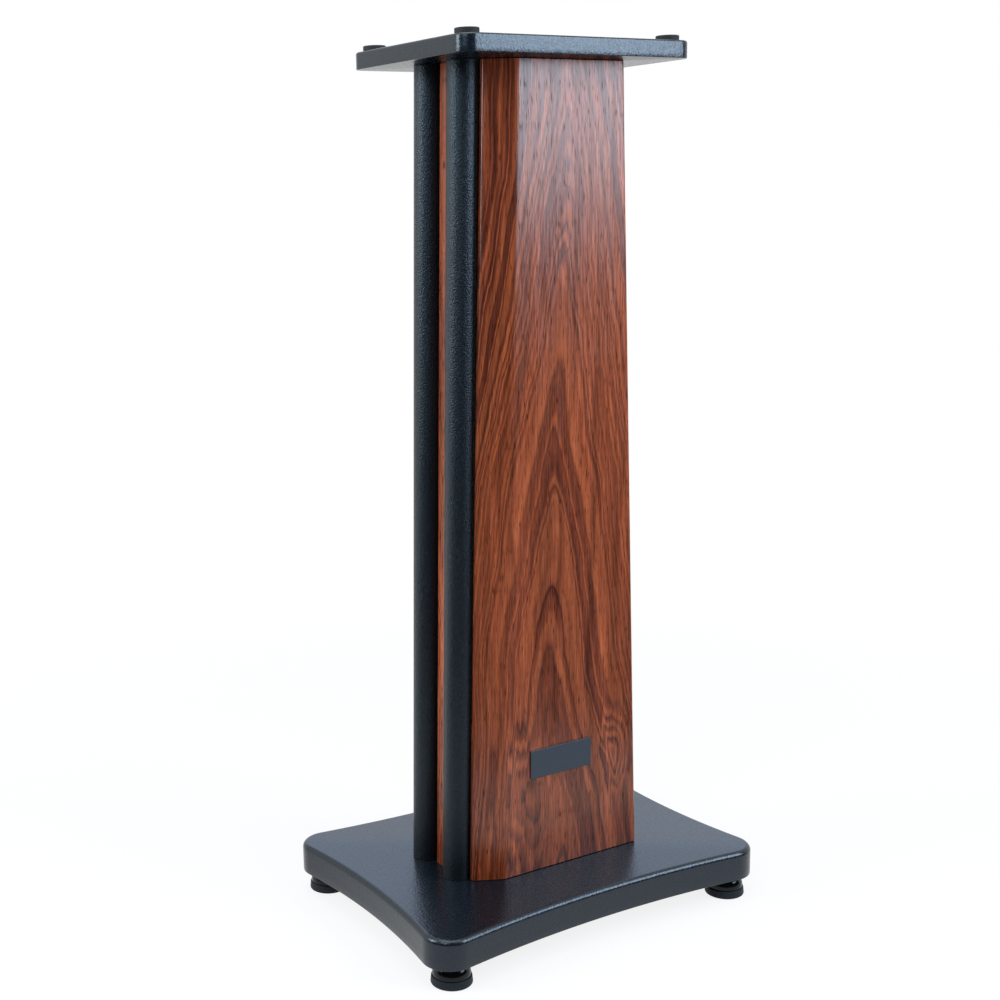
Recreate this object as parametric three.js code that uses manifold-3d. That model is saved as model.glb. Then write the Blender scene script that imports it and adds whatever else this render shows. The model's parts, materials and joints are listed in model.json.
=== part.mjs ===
import * as THREE from 'three';
import { mergeVertices } from 'three/addons/utils/BufferGeometryUtils.js';
import Module from 'manifold-3d';

// Floor-standing loudspeaker stand: a waisted base on four levelling feet, four leaning steel tubes,
// three tapered wooden boards between the plates and a top plate with four rubber pads.
// Millimetres, +Z up, front towards -Y, floor at z = 0, origin below the middle of the stand.

// ---- overall -------------------------------------------------------------------------------
const totalHeight = 800;      // floor to the top of the rubber pads
const seatGap = 0.3;          // between two faces that rest on each other
const drillOver = 1;          // how far a drilling tool starts outside the face it enters
const coverGap = 0.3;         // radial clearance of a bolt, screw or insert in its hole
const holeOver = 1;           // how much deeper a blind hole is than the piece in it

// ---- levelling feet ------------------------------------------------------------------------
const footGap = 21;           // floor to the underside of the base, foot screwed right in
const footInsetX = 32;         // foot axis to the meeting point of the base's side curves
const footInsetY = 28;
const footRadius = 18.5;
const footWallHeight = 7.4;
const footWallDraft = 0.5;
const footEdge = 1.2;
const footEdgeCut = 0.36;      // the same edge's rounding, drawn as two bevels
const socketRadius = 6.3;
const socketFloor = 2.5;
const swivelClearance = 0.3;
const swivelHeadHeight = 3.2;
const domeRadius = 17.1;
const domeTopRadius = 6.5;
const domeRim = 0.9;
const studRadius = 4;         // M8
const studRunning = 0.1;      // radial clearance of the thread in its insert
const studInBase = 21;
const studTipBevel = 1;

// ---- threaded inserts in the base ------------------------------------------------------------
const insertRadius = 6.5;
const insertLength = 19;
const insertFlangeRadius = 9.5;
const insertFlangeHeight = 1.5;

// ---- base plate ------------------------------------------------------------------------------
const baseHalfX = 190;        // to the meeting point of the side curves, before the corner is rounded
const baseHalfY = 138.5;
const baseThickness = 28;
const baseSagX = 15;          // how far the left and right sides are drawn in
const baseSagY = 16;          // how far the front and back sides are drawn in
const baseCornerRadius = 25;
const baseTopFillet = 5;

// ---- top plate -------------------------------------------------------------------------------
const topHalfX = 120;
const topHalfY = 90;
const topThickness = 15;
const topCornerRadius = 13;
const topFillet = 2;

// ---- rubber pads -----------------------------------------------------------------------------
const padRadius = 10.2;
const padHeight = 5;
const padEdge = 0.9;
const padInsetX = 15;         // pad axis to the top plate's side
const padInsetY = 17;

// ---- tubes and their threaded end plugs --------------------------------------------------------
const tubeRadius = 13.5;
const tubeWall = 1.5;
const tubeTopX = 78;
const tubeFootX = 95;
const tubeRowY = 26;
const plugLength = 26;
const plugFlat = 0.6;         // the plug lies this far inside the tube's end

// ---- boards ----------------------------------------------------------------------------------
const panelTopHalf = 70;      // front and rear board, half width under the top plate
const panelFootHalf = 91;     // and on the base
const panelThickness = 18;
const panelStandOff = 0.4;    // between the tubes and the board's flat back
const panelScrewDepth = 9;    // screw axis to the board's flat back
const bevelWidth = 26;        // wide slanting flat along the board's left long edge
const bevelDepth = 13;
const bevelBlend = 12;        // soft radius where it leaves the face
const bevelNose = 4;          // and where it meets the board's side
const squareNose = 2.5;       // the right long edge of the face is only eased
const backEase = 0.8;
const middleTopHalf = 79;
const middleFootHalf = 96.2;
const middleThickness = 18;
const middleRound = 2.6;

// ---- badge -----------------------------------------------------------------------------------
const badgeWidth = 69.5;
const badgeHeight = 27;
const badgeThickness = 1.2;
const badgeCorner = 1.5;
const badgeCentreZ = 154;

// ---- fasteners -------------------------------------------------------------------------------
const boltRadius = 4;         // M8
const boltGrip = 18;          // length of thread in a tube plug
const capHeadRadius = 6.5;
const capHeadHeight = 8;
const washerRadius = 8;
const washerHeight = 1.6;
const boltRecess = 11;        // depth of the counterbore under the base
const flatHeadRadius = 8;
const boltSocket = 3.2;       // corner radius of a hexagon socket
const boltSocketDepth = 3;
const screwRadius = 2.5;
const screwHeadRadius = 4.6;
const screwGrip = 30;         // length of a screw in the end of a board
const screwTip = 5;
const screwRecess = 8;        // depth of the screw counterbore under the base
const screwSocket = 1.9;
const screwSocketDepth = 1.8;
const headBelow = 0.2;        // heads lie this far under the top plate's face
const screwFootX = 62;
const screwTopX = 48;

// ---- facets ----------------------------------------------------------------------------------
const roundSides = 22;
const insertSides = 16;
const tubeSides = 28;
const drillSides = 16;
const screwSides = 12;
const cornerSteps = 6;
const sideSteps = 10;
const filletSteps = 3;
const edgeSteps = 4;
const domeSteps = 5;
const padEdgeSteps = 2;
const weldDistance = 1e-4;    // vertices nearer than this are one
const cornerPasses = 60;      // enough for the corner circle to settle to a rounding error

// ---- places that follow from the sizes above ----------------------------------------------------
const baseTop = footGap + baseThickness;
const plateTop = totalHeight - padHeight;
const plateUnder = plateTop - topThickness;
const columnFoot = baseTop + seatGap;
const columnHead = plateUnder - seatGap;
const columnHeight = columnHead - columnFoot;
const footSpreadX = baseHalfX - footInsetX;
const footSpreadY = baseHalfY - footInsetY;
const padSpreadX = topHalfX - padInsetX;
const padSpreadY = topHalfY - padInsetY;
const panelBackY = tubeRowY + tubeRadius + panelStandOff;
const panelScrewY = panelBackY + panelScrewDepth;

const wasm = await Module();
wasm.setup();

// ---- finishes ----------------------------------------------------------------------------------
const finishes = {
  satinBlack: { color: 0x2c3137, roughness: 0.42, metalness: 0 },
  powderBlack: { color: 0x191b1e, roughness: 0.5, metalness: 0.1 },
  redBrownWood: { color: 0x7d4834, roughness: 0.35, metalness: 0 },
  slateBadge: { color: 0x3e4854, roughness: 0.35, metalness: 0.4 },
  blackRubber: { color: 0x17191c, roughness: 0.85, metalness: 0 },
  footMatte: { color: 0x24292c, roughness: 0.7, metalness: 0 },
  footGloss: { color: 0x0b0d0f, roughness: 0.12, metalness: 0 },
  zincSteel: { color: 0x9a9da0, roughness: 0.35, metalness: 1 },
  blackSteel: { color: 0x1d1f21, roughness: 0.4, metalness: 0.8 },
};

function part(name, finish, geometry, x = 0, y = 0, z = 0) {
  const mesh = new THREE.Mesh(geometry, new THREE.MeshStandardMaterial(finishes[finish]));
  mesh.name = name;
  mesh.position.set(x, y, z);
  return mesh;
}

// ---- solids ------------------------------------------------------------------------------------
function toSolid(geometry) {
  const bare = geometry.clone();
  bare.deleteAttribute('normal');
  bare.deleteAttribute('uv');
  const merged = mergeVertices(bare, weldDistance);
  return new wasm.Manifold(new wasm.Mesh({
    numProp: 3,
    vertProperties: new Float32Array(merged.attributes.position.array),
    triVerts: new Uint32Array(merged.index.array),
  }));
}

function toGeometry(solid) {
  const mesh = solid.getMesh();
  const geometry = new THREE.BufferGeometry();
  geometry.setAttribute('position', new THREE.BufferAttribute(new Float32Array(mesh.vertProperties), 3));
  geometry.setIndex(new THREE.BufferAttribute(new Uint32Array(mesh.triVerts), 1));
  geometry.computeVertexNormals();
  return geometry;
}

function cutAway(geometry, tools) {
  let solid = toSolid(geometry);
  for (const tool of tools) {
    solid = solid.subtract(toSolid(tool));
  }
  return toGeometry(solid);
}

// A profile of [radius, height] pairs turned about the +Z axis.
function turned(profile, sides) {
  const points = profile.map(([radius, height]) => new THREE.Vector2(radius, height));
  return new THREE.LatheGeometry(points, sides).rotateX(Math.PI / 2);
}

// A closed solid through rings of equal length, each a list of [x, y, z], capped at both ends.
function loft(rings) {
  const count = rings[0].length;
  const positions = [];
  for (const ring of rings) {
    positions.push(...ring.flat());
  }
  const index = [];
  for (let level = 0; level + 1 < rings.length; level += 1) {
    for (let i = 0; i < count; i += 1) {
      const next = (i + 1) % count;
      const low = level * count;
      const high = low + count;
      index.push(low + i, low + next, high + next, low + i, high + next, high + i);
    }
  }
  const ends = [[rings[0], 0, false], [rings[rings.length - 1], (rings.length - 1) * count, true]];
  for (const [ring, start, upward] of ends) {
    const centre = positions.length / 3;
    positions.push(...[0, 1, 2].map((axis) => ring.reduce((sum, p) => sum + p[axis], 0) / count));
    for (let i = 0; i < count; i += 1) {
      const next = (i + 1) % count;
      index.push(centre, start + (upward ? i : next), start + (upward ? next : i));
    }
  }
  const geometry = new THREE.BufferGeometry();
  geometry.setAttribute('position', new THREE.Float32BufferAttribute(positions, 3));
  geometry.setIndex(index);
  geometry.computeVertexNormals();
  return geometry;
}

function drill(x, y, profile, sides) {
  return turned(profile, sides).translate(x, y, 0);
}

function hexSocket(cornerRadius, depth) {
  const tool = new THREE.CylinderGeometry(cornerRadius, cornerRadius, depth + drillOver, 6);
  return tool.rotateX(Math.PI / 2).translate(0, 0, (depth - drillOver) / 2);
}

const corners = [
  { place: 'front_left', sx: -1, sy: -1 },
  { place: 'front_right', sx: 1, sy: -1 },
  { place: 'rear_left', sx: -1, sy: 1 },
  { place: 'rear_right', sx: 1, sy: 1 },
];

const sides = [
  { side: 'left', sx: -1 },
  { side: 'right', sx: 1 },
];

const boards = [
  { board: 'front', y: -panelScrewY },
  { board: 'middle', y: 0 },
  { board: 'rear', y: panelScrewY },
];

// ---- plate outlines ----------------------------------------------------------------------------
// Drawn-in sides are shallow parabolas; the corner circle touches both of them.
function waistedQuarter(halfX, halfY, sagX, sagY, radius) {
  const rightAt = (y) => halfX - sagX * (1 - (y / halfY) ** 2);
  const backAt = (x) => halfY - sagY * (1 - (x / halfX) ** 2);
  const rightNormal = (y) => new THREE.Vector2(1, (-2 * sagX * y) / halfY ** 2).normalize();
  const backNormal = (x) => new THREE.Vector2((-2 * sagY * x) / halfX ** 2, 1).normalize();
  let touchX = halfX - radius;
  let touchY = halfY - radius;
  let centre = new THREE.Vector2();
  for (let pass = 0; pass < cornerPasses; pass += 1) {
    const fromRight = new THREE.Vector2(rightAt(touchY), touchY);
    fromRight.addScaledVector(rightNormal(touchY), -radius);
    const fromBack = new THREE.Vector2(touchX, backAt(touchX));
    fromBack.addScaledVector(backNormal(touchX), -radius);
    touchX += fromRight.x - fromBack.x;
    touchY += fromBack.y - fromRight.y;
    centre = fromRight.add(fromBack).multiplyScalar(0.5);
  }
  const points = [];
  for (let i = 0; i < sideSteps; i += 1) {
    const y = (touchY * i) / sideSteps;
    const normal = rightNormal(y);
    points.push({ x: rightAt(y), y, nx: normal.x, ny: normal.y });
  }
  const start = Math.atan2(touchY - centre.y, rightAt(touchY) - centre.x);
  const end = Math.atan2(backAt(touchX) - centre.y, touchX - centre.x);
  for (let i = 0; i <= cornerSteps; i += 1) {
    const angle = start + ((end - start) * i) / cornerSteps;
    const nx = Math.cos(angle);
    const ny = Math.sin(angle);
    points.push({ x: centre.x + radius * nx, y: centre.y + radius * ny, nx, ny });
  }
  for (let i = sideSteps - 1; i > 0; i -= 1) {
    const x = (touchX * i) / sideSteps;
    const normal = backNormal(x);
    points.push({ x, y: backAt(x), nx: normal.x, ny: normal.y });
  }
  points.push({ x: 0, y: backAt(0), nx: 0, ny: 1 });
  return points;
}

function straightQuarter(halfX, halfY, radius) {
  const points = [{ x: halfX, y: 0, nx: 1, ny: 0 }];
  for (let i = 0; i <= cornerSteps; i += 1) {
    const angle = (Math.PI / 2) * (i / cornerSteps);
    const nx = Math.cos(angle);
    const ny = Math.sin(angle);
    points.push({ x: halfX - radius + radius * nx, y: halfY - radius + radius * ny, nx, ny });
  }
  points.push({ x: 0, y: halfY, nx: 0, ny: 1 });
  return points;
}

function mirroredOutline(quarter) {
  const flip = (list, fx, fy) => list.map(({ x, y, nx, ny }) => {
    return { x: x * fx, y: y * fy, nx: nx * fx, ny: ny * fy };
  });
  const back = [...quarter].reverse();
  return [
    ...quarter.slice(0, -1),
    ...flip(back, -1, 1).slice(0, -1),
    ...flip(quarter, -1, -1).slice(0, -1),
    ...flip(back, 1, -1).slice(0, -1),
  ];
}

// The plate's upper edge is a quarter round, its lower edge stays square.
function filletedPlate(quarter, thickness, fillet) {
  const outline = mirroredOutline(quarter);
  const inset = (depth, z) => outline.map((p) => [p.x - p.nx * depth, p.y - p.ny * depth, z]);
  const rings = [inset(0, 0)];
  for (let i = 0; i <= filletSteps; i += 1) {
    const angle = (Math.PI / 2) * (i / filletSteps);
    rings.push(inset(fillet * (1 - Math.cos(angle)), thickness - fillet * (1 - Math.sin(angle))));
  }
  return loft(rings);
}

// ---- base plate --------------------------------------------------------------------------------
function basePlate() {
  const quarter = waistedQuarter(baseHalfX, baseHalfY, baseSagX, baseSagY, baseCornerRadius);
  const tools = [];
  for (const { sx, sy } of corners) {
    tools.push(drill(sx * footSpreadX, sy * footSpreadY, insertBore(), drillSides));
    tools.push(drill(sx * tubeFootX, sy * tubeRowY, boltBoreFromBelow(), drillSides));
  }
  for (const { sx } of sides) {
    for (const { y } of boards) {
      tools.push(drill(sx * screwFootX, y, screwBoreFromBelow(), screwSides));
    }
  }
  return cutAway(filletedPlate(quarter, baseThickness, baseTopFillet), tools);
}

function insertBore() {
  const wide = insertFlangeRadius + coverGap;
  const narrow = insertRadius + coverGap;
  const step = insertFlangeHeight + seatGap;
  const top = studInBase + holeOver;
  return [[0, -drillOver], [wide, -drillOver], [wide, step], [narrow, step], [narrow, top], [0, top]];
}

function boltBoreFromBelow() {
  const wide = washerRadius + coverGap;
  const narrow = boltRadius + coverGap;
  const top = baseThickness + drillOver;
  return [
    [0, -drillOver], [wide, -drillOver], [wide, boltRecess], [narrow, boltRecess], [narrow, top], [0, top],
  ];
}

function screwBoreFromBelow() {
  const wide = screwHeadRadius + coverGap;
  const narrow = screwRadius + coverGap;
  const top = baseThickness + drillOver;
  const cone = screwRecess + wide - narrow;
  return [
    [0, -drillOver], [wide, -drillOver], [wide, screwRecess], [narrow, cone], [narrow, top], [0, top],
  ];
}

// ---- top plate ---------------------------------------------------------------------------------
function topPlate() {
  const tools = [];
  for (const { sx, sy } of corners) {
    const bore = countersunkBore(flatHeadRadius, boltRadius);
    tools.push(drill(sx * tubeTopX, sy * tubeRowY, bore, drillSides));
  }
  for (const { sx } of sides) {
    for (const { y } of boards) {
      tools.push(drill(sx * screwTopX, y, countersunkBore(screwHeadRadius, screwRadius), screwSides));
    }
  }
  const quarter = straightQuarter(topHalfX, topHalfY, topCornerRadius);
  return cutAway(filletedPlate(quarter, topThickness, topFillet), tools);
}

function countersunkBore(headRadius, shankRadius) {
  const wide = headRadius + coverGap;
  const narrow = shankRadius + coverGap;
  const rim = topThickness - headBelow;
  const cone = rim - (wide - narrow);
  const top = topThickness + drillOver;
  return [[0, -drillOver], [narrow, -drillOver], [narrow, cone], [wide, rim], [wide, top], [0, top]];
}

// ---- tubes -------------------------------------------------------------------------------------
function lean(geometry, sx, low) {
  const slope = (tubeTopX - tubeFootX) / (plateUnder - baseTop);
  geometry.applyMatrix4(new THREE.Matrix4().makeShear(0, 0, 0, 0, sx * slope, 0));
  return geometry.translate(sx * (tubeFootX + slope * (low - baseTop)), 0, 0);
}

function tube(sx) {
  const inner = tubeRadius - tubeWall;
  const top = columnHeight;
  const profile = [[inner, 0], [tubeRadius, 0], [tubeRadius, top], [inner, top], [inner, 0]];
  return lean(turned(profile, tubeSides), sx, columnFoot);
}

function plug(sx, low, boreX, boreFrom, boreTo) {
  const radius = tubeRadius - tubeWall - coverGap;
  const body = turned([[0, 0], [radius, 0], [radius, plugLength], [0, plugLength]], drillSides);
  const bore = boltRadius + coverGap;
  const tool = drill(boreX, 0, [[0, boreFrom], [bore, boreFrom], [bore, boreTo], [0, boreTo]], drillSides);
  return cutAway(lean(body, sx, low), [tool]);
}

function footPlug(sx) {
  return plug(sx, columnFoot + plugFlat, sx * tubeFootX, -drillOver, boltGrip + drillOver);
}

function headPlug(sx) {
  const bottom = plugLength - boltGrip - drillOver;
  return plug(sx, columnHead - plugFlat - plugLength, sx * tubeTopX, bottom, plugLength + drillOver);
}

// ---- boards ------------------------------------------------------------------------------------
// Plan of a face board at a given half width: flat back at y = 0, face towards -Y with a wide bevel on
// its left and an eased square edge on its right. The bevel keeps its width as the board tapers.
function panelSection(half, z) {
  const slantEnd = bevelDepth - panelThickness;
  return roundedSection([
    { x: half, y: 0, radius: backEase },
    { x: -half, y: 0, radius: backEase },
    { x: -half, y: slantEnd, radius: bevelNose },
    { x: bevelWidth - half, y: -panelThickness, radius: bevelBlend },
    { x: half, y: -panelThickness, radius: squareNose },
  ], z);
}

// A convex outline, counter-clockwise, each of its corners rounded with that corner's radius.
function roundedSection(outline, z) {
  const count = outline.length;
  return outline.flatMap(({ x, y, radius }, i) => {
    const towards = (other) => new THREE.Vector2(other.x - x, other.y - y).normalize();
    const back = towards(outline[(i + count - 1) % count]);
    const ahead = towards(outline[(i + 1) % count]);
    const halfAngle = back.angleTo(ahead) / 2;
    const middle = back.clone().add(ahead).setLength(radius / Math.sin(halfAngle));
    const start = back.multiplyScalar(radius / Math.tan(halfAngle)).sub(middle).angle();
    return Array.from({ length: edgeSteps + 1 }, (_, step) => {
      const angle = start + ((Math.PI - 2 * halfAngle) * step) / edgeSteps;
      return [x + middle.x + radius * Math.cos(angle), y + middle.y + radius * Math.sin(angle), z];
    });
  });
}

function screwPilots(y) {
  const radius = screwRadius + coverGap;
  const end = screwGrip + holeOver;
  const low = [[0, -drillOver], [radius, -drillOver], [radius, end], [0, end]];
  const high = low.map(([r, height]) => [r, columnHeight - height]).reverse();
  const tools = [];
  for (const { sx } of sides) {
    tools.push(drill(sx * screwFootX, y, low, screwSides));
    tools.push(drill(sx * screwTopX, y, high, screwSides));
  }
  return tools;
}

function facePanel() {
  const sections = [panelSection(panelFootHalf, 0), panelSection(panelTopHalf, columnHeight)];
  return cutAway(loft(sections), screwPilots(-panelScrewDepth));
}

function middleSection(half, z) {
  const quarter = straightQuarter(half, middleThickness / 2, middleRound);
  return mirroredOutline(quarter).map((p) => [p.x, p.y, z]);
}

function middleBoard() {
  const sections = [middleSection(middleFootHalf, 0), middleSection(middleTopHalf, columnHeight)];
  return cutAway(loft(sections), screwPilots(0));
}

// ---- badge -------------------------------------------------------------------------------------
function badge() {
  const outline = mirroredOutline(straightQuarter(badgeWidth / 2, badgeHeight / 2, badgeCorner));
  const rings = [0, badgeThickness].map((depth) => outline.map((p) => [p.x, p.y, depth]));
  return loft(rings).rotateX(Math.PI / 2);
}

// ---- rubber pads ---------------------------------------------------------------------------------
function rubberPad() {
  const height = padHeight - seatGap;
  const profile = [[0, 0], [padRadius - padEdge / 2, 0], [padRadius, padEdge / 2]];
  for (let i = 0; i <= padEdgeSteps; i += 1) {
    const angle = (Math.PI / 2) * (i / padEdgeSteps);
    const radius = padRadius - padEdge * (1 - Math.cos(angle));
    profile.push([radius, height - padEdge * (1 - Math.sin(angle))]);
  }
  profile.push([0, height]);
  return turned(profile, roundSides);
}

// ---- levelling feet --------------------------------------------------------------------------------
function footPad() {
  const shoulder = footRadius - footWallDraft;
  return turned([
    [0, 0], [footRadius - footEdge, 0], [footRadius - footEdgeCut, footEdgeCut], [footRadius, footEdge],
    [shoulder, footWallHeight - footEdge], [shoulder - footEdgeCut, footWallHeight - footEdgeCut],
    [shoulder - footEdge, footWallHeight], [socketRadius, footWallHeight], [socketRadius, socketFloor],
    [0, socketFloor],
  ], roundSides);
}

function footHub() {
  const low = footWallHeight + seatGap;
  const high = footGap - seatGap;
  const bore = studRadius + coverGap;
  const profile = [[bore, low], [domeRadius - domeRim / 2, low], [domeRadius, low + domeRim]];
  for (let i = 1; i <= domeSteps; i += 1) {
    const angle = (Math.PI / 2) * (i / domeSteps);
    const radius = domeTopRadius + (domeRadius - domeTopRadius) * Math.cos(angle);
    profile.push([radius, low + domeRim + (high - low - domeRim) * Math.sin(angle)]);
  }
  profile.push([bore, high], [bore, low]);
  return turned(profile, roundSides);
}

function footStud() {
  const low = socketFloor + seatGap;
  const top = footGap + studInBase;
  const head = socketRadius - swivelClearance;
  const neck = Math.min(low + swivelHeadHeight, footWallHeight);
  return turned([
    [0, low], [head, low], [head, neck], [studRadius, neck], [studRadius, top - studTipBevel],
    [studRadius - studTipBevel, top], [0, top],
  ], drillSides);
}

function footInsert() {
  const bore = studRadius + studRunning;
  return turned([
    [bore, 0], [insertFlangeRadius, 0], [insertFlangeRadius, insertFlangeHeight],
    [insertRadius, insertFlangeHeight], [insertRadius, insertLength], [bore, insertLength], [bore, 0],
  ], insertSides);
}

// ---- bolts and screws, point upwards, head at z = 0 ---------------------------------------------------
function capBolt() {
  const underHead = capHeadHeight + washerHeight;
  const tip = underHead + seatGap + baseThickness - boltRecess + boltGrip;
  const body = turned([
    [0, 0], [capHeadRadius, 0], [capHeadRadius, capHeadHeight], [washerRadius, capHeadHeight],
    [washerRadius, underHead], [boltRadius, underHead], [boltRadius, tip], [0, tip],
  ], drillSides);
  return cutAway(body, [hexSocket(boltSocket, boltSocketDepth)]);
}

function flatBolt() {
  const tip = topThickness - headBelow + boltGrip;
  const cone = flatHeadRadius - boltRadius;
  const profile = [[0, 0], [flatHeadRadius, 0], [boltRadius, cone], [boltRadius, tip], [0, tip]];
  const body = turned(profile, drillSides);
  return cutAway(body, [hexSocket(boltSocket, boltSocketDepth)]);
}

function boardScrew(plateDepth) {
  const tip = plateDepth + screwGrip;
  const cone = screwHeadRadius - screwRadius;
  const body = turned([
    [0, 0], [screwHeadRadius, 0], [screwRadius, cone], [screwRadius, tip - screwTip], [0, tip],
  ], screwSides);
  return cutAway(body, [hexSocket(screwSocket, screwSocketDepth)]);
}

// ---- assembly ----------------------------------------------------------------------------------------
const stand = new THREE.Group();

const foundation = new THREE.Group();
foundation.add(part('base_plate', 'satinBlack', basePlate(), 0, 0, footGap));
for (const { place, sx, sy } of corners) {
  const x = sx * footSpreadX;
  const y = sy * footSpreadY;
  foundation.add(part(`foot_pad_${place}`, 'footMatte', footPad(), x, y));
  foundation.add(part(`foot_hub_${place}`, 'footGloss', footHub(), x, y));
  foundation.add(part(`foot_stud_${place}`, 'zincSteel', footStud(), x, y));
  foundation.add(part(`foot_insert_${place}`, 'zincSteel', footInsert(), x, y, footGap));
}
stand.add(foundation);

const column = new THREE.Group();
const headPlugZ = columnHeight - plugFlat - plugLength;
column.position.z = columnFoot;
for (const { place, sx, sy } of corners) {
  column.add(part(`tube_${place}`, 'powderBlack', tube(sx), 0, sy * tubeRowY));
  column.add(part(`tube_foot_plug_${place}`, 'zincSteel', footPlug(sx), 0, sy * tubeRowY, plugFlat));
  column.add(part(`tube_head_plug_${place}`, 'zincSteel', headPlug(sx), 0, sy * tubeRowY, headPlugZ));
}
column.add(part('front_panel', 'redBrownWood', facePanel(), 0, -panelBackY));
column.add(part('middle_board', 'redBrownWood', middleBoard()));
const rearPanel = part('rear_panel', 'redBrownWood', facePanel(), 0, panelBackY);
rearPanel.rotation.z = Math.PI;
column.add(rearPanel);
const badgeY = -panelBackY - panelThickness - seatGap;
column.add(part('badge_plate', 'slateBadge', badge(), 0, badgeY, badgeCentreZ - columnFoot));
stand.add(column);

const head = new THREE.Group();
head.position.z = plateUnder;
head.add(part('top_plate', 'satinBlack', topPlate()));
for (const { place, sx, sy } of corners) {
  const pad = part(`rubber_pad_${place}`, 'blackRubber', rubberPad(), sx * padSpreadX, sy * padSpreadY);
  pad.position.z = topThickness + seatGap;
  head.add(pad);
}
stand.add(head);

const fasteners = new THREE.Group();
const capHeadZ = footGap + boltRecess - seatGap - washerHeight - capHeadHeight;
const flatHeadZ = plateTop - headBelow;
for (const { place, sx, sy } of corners) {
  const y = sy * tubeRowY;
  fasteners.add(part(`base_bolt_${place}`, 'zincSteel', capBolt(), sx * tubeFootX, y, capHeadZ));
  const upper = part(`top_bolt_${place}`, 'blackSteel', flatBolt(), sx * tubeTopX, y, flatHeadZ);
  upper.rotation.x = Math.PI;
  fasteners.add(upper);
}
for (const { side, sx } of sides) {
  for (const { board, y } of boards) {
    const lower = part(`base_screw_${board}_${side}`, 'zincSteel', boardScrew(baseThickness - screwRecess));
    lower.position.set(sx * screwFootX, y, footGap + screwRecess);
    fasteners.add(lower);
    const upper = part(`top_screw_${board}_${side}`, 'blackSteel', boardScrew(topThickness));
    upper.position.set(sx * screwTopX, y, flatHeadZ);
    upper.rotation.x = Math.PI;
    fasteners.add(upper);
  }
}
stand.add(fasteners);

export default stand;
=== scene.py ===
import json
import math

import bpy
import numpy as np
from mathutils import Matrix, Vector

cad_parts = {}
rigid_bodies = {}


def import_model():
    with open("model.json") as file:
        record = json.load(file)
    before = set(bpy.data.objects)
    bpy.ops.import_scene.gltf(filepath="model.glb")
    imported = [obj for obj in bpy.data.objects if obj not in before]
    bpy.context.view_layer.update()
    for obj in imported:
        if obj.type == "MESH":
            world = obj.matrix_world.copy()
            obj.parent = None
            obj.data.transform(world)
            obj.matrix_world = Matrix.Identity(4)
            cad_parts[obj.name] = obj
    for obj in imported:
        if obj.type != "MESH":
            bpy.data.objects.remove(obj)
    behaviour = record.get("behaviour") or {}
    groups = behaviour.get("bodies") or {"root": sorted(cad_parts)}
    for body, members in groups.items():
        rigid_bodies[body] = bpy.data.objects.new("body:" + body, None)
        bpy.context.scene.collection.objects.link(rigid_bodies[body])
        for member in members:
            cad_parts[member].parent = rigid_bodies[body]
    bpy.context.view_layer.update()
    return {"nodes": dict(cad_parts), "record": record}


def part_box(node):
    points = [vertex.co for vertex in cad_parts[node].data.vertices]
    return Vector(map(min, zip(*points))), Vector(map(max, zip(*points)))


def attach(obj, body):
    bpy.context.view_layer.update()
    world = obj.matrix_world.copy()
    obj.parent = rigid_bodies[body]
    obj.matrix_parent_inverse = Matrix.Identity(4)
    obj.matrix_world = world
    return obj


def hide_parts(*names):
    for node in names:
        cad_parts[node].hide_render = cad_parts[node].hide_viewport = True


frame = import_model()
print("frame loaded")

mm = 0.001
cornerNames = {"front_left": (-1, -1), "front_right": (1, -1), "rear_left": (-1, 1), "rear_right": (1, 1)}


def addNode(tree, kind, inputs=None, **settings):
    made = tree.nodes.new(kind)
    for name, value in settings.items():
        setattr(made, name, value)
    for name, value in (inputs or {}).items():
        if isinstance(value, bpy.types.NodeSocket):
            tree.links.new(value, made.inputs[name])
        else:
            made.inputs[name].default_value = value
    return made


def calc(tree, operation, *values, clamp=False):
    made = addNode(tree, "ShaderNodeMath", operation=operation, use_clamp=clamp)
    for slot, value in enumerate(values):
        if isinstance(value, bpy.types.NodeSocket):
            tree.links.new(value, made.inputs[slot])
        else:
            made.inputs[slot].default_value = value
    return made.outputs[0]


def remap(tree, value, low, high, toLow=0.0, toHigh=1.0, smooth=False):
    made = addNode(tree, "ShaderNodeMapRange", {"Value": value, "From Min": low, "From Max": high,
                                                "To Min": toLow, "To Max": toHigh})
    made.interpolation_type = "SMOOTHSTEP" if smooth else "LINEAR"
    return made.outputs["Result"]


def blendColour(tree, amount, first, second, mode="MIX"):
    made = addNode(tree, "ShaderNodeMix", data_type="RGBA", blend_type=mode)
    for slot, value in ((0, amount), (6, first), (7, second)):
        if isinstance(value, bpy.types.NodeSocket):
            tree.links.new(value, made.inputs[slot])
        else:
            made.inputs[slot].default_value = value if slot == 0 else (*value, 1)
    return made.outputs[2]


def colourRamp(tree, value, stops):
    made = addNode(tree, "ShaderNodeValToRGB", {"Fac": value})
    ramp = made.color_ramp
    ramp.elements[0].position, ramp.elements[0].color = stops[0][0], (*stops[0][1], 1)
    ramp.elements[1].position, ramp.elements[1].color = stops[-1][0], (*stops[-1][1], 1)
    for position, colour in stops[1:-1]:
        ramp.elements.new(position).color = (*colour, 1)
    return made.outputs["Color"]


def newGroup(name, inputs, outputs):
    tree = bpy.data.node_groups.new(name, "ShaderNodeTree")
    for label, kind, value in inputs:
        made = tree.interface.new_socket(label, in_out="INPUT", socket_type=kind)
        made.default_value = value
    for label, kind in outputs:
        tree.interface.new_socket(label, in_out="OUTPUT", socket_type=kind)
    return tree, addNode(tree, "NodeGroupInput"), addNode(tree, "NodeGroupOutput")


def newMaterial(name):
    material = bpy.data.materials.new(name)
    material.use_nodes = True
    material.node_tree.nodes.clear()
    return material, material.node_tree


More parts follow.
